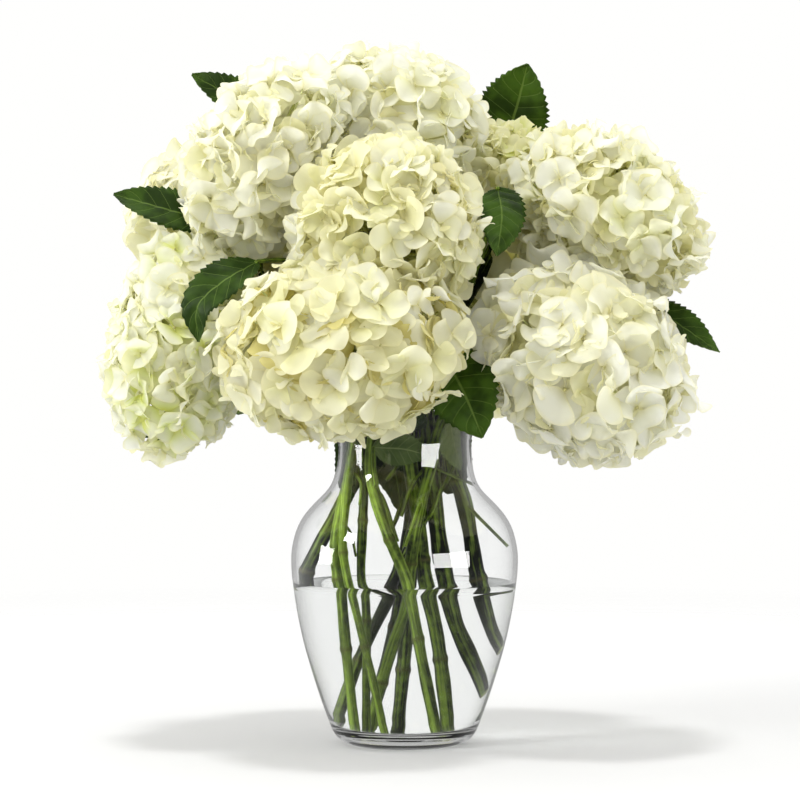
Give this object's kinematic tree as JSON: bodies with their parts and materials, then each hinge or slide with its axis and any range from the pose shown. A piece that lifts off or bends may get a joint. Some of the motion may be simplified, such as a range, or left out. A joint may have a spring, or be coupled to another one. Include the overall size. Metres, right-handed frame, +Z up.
{
  "type": "vase of hydrangeas",
  "caption": "Clear glass urn vase, half full of water, holding a round bouquet of cut white hydrangeas with dark serrated leaves.",
  "frame": {"origin": "centre of the vase's flat foot, on the surface it stands on", "axes": "+Z up along the vase's axis, -Y towards the front of the bouquet, +X to its right as seen from the front"},
  "size_m": [0.3465, 0.2871, 0.4009],
  "materials": {
    "glass": "clear polished pressed glass",
    "water": "clear still water",
    "stem": "satin green bark with paler nodes",
    "leaf": "matte dark green with pale veins",
    "petal_cream": "soft matte cream petals",
    "petal_white": "soft matte white petals",
    "petal_lime": "soft matte yellow-green petals"
  },
  "bodies": {
    "root": {"vase": "glass", "water": "water", "stem_center_low": "stem", "stem_center_up": "stem", "stem_top_left": "stem", "stem_top_center": "stem", "stem_right_up": "stem", "stem_right_low": "stem", "stem_left": "stem", "stem_left_back": "stem", "stem_back_right_small": "stem", "stem_back_left": "stem", "stem_back_right": "stem", "stem_back_middle": "stem", "flower_head_center_low": "petal_cream", "flower_head_center_up": "petal_cream", "flower_head_top_left": "petal_white", "flower_head_top_center": "petal_cream", "flower_head_right_up": "petal_cream", "flower_head_right_low": "petal_white", "flower_head_left": "petal_lime", "flower_head_left_back": "petal_white", "flower_head_back_right_small": "petal_lime", "flower_head_back_left": "petal_cream", "flower_head_back_right": "petal_cream", "flower_head_back_middle": "petal_cream", "leaf_top_right": "leaf", "leaf_top_left": "leaf", "leaf_left": "leaf", "leaf_mid_left": "leaf", "leaf_center_right": "leaf", "leaf_right": "leaf", "leaf_low_center": "leaf", "leaf_left_low": "leaf", "leaf_neck_front": "leaf", "leaf_neck_right": "leaf", "leaf_back_left": "leaf", "leaf_back_right": "leaf", "leaf_back_low": "leaf"}
  },
  "joints": []
}
